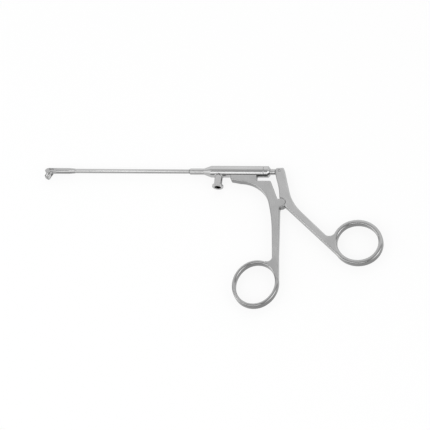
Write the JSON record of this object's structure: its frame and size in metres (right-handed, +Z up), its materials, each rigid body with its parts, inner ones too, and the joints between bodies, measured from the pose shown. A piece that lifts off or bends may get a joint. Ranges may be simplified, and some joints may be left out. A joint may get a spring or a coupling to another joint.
{
  "type": "antrum punch",
  "caption": "Steel sinus surgery antrum punch: ring handles pull a rod through a long thin tube to close a small pivoting jaw on a fixed nose, with a flushing port under the barrel.",
  "frame": {"origin": "middle of the footprint, on the plane that the instrument lies on", "axes": "+X along the tube from the jaw to the handles, +Y from the finger rings up to the barrel, +Z up through the thickness of the handles"},
  "size_m": [0.2228, 0.0984, 0.0075],
  "materials": {
    "satin_steel": "satin brushed",
    "polished_steel": "polished",
    "tube_steel": "drawn and polished",
    "tip_steel": "ground",
    "pin_steel": "ground",
    "seal_white": "matt",
    "bush_tan": "matt"
  },
  "bodies": {
    "frame": {"tip_housing": "tip_steel", "jaw_pivot_pin": "pin_steel", "sheath_tube": "tube_steel", "collar": "polished_steel", "barrel": "polished_steel", "flush_port": "polished_steel", "rod_seal": "seal_white", "seal_washer": "pin_steel", "guide_bush": "bush_tan", "end_cap": "polished_steel", "front_handle": "satin_steel", "hinge_screw": "pin_steel"},
    "lever": {"rear_handle": "satin_steel", "lever_pin": "pin_steel"},
    "rod": {"drive_rod": "tube_steel", "pull_rod": "tube_steel", "rod_tongue": "tube_steel", "drive_pin": "pin_steel"},
    "jaw": {"jaw": "tip_steel"}
  },
  "joints": [
    {"name": "lever_hinge", "type": "hinge", "parent": "frame", "child": "lever", "pos_m": [0.04335, 0.0231, 0.00375], "axis": [0, 0, 1], "range_deg": [-5.26, 0]},
    {"name": "rod_slide", "type": "slide", "parent": "frame", "child": "rod", "axis": [1, 0, 0], "range_m": [0, 0.00202]},
    {"name": "jaw_hinge", "type": "hinge", "parent": "frame", "child": "jaw", "pos_m": [-0.10725, 0.04437, 0.00375], "axis": [0, 0, 1], "range_deg": [-60.6, 0]}
  ],
  "couplings": [
    {"joint": "rod_slide", "follows": "lever_hinge", "m_per_rad": -0.022},
    {"joint": "jaw_hinge", "follows": "lever_hinge", "ratio": 11.509}
  ]
}
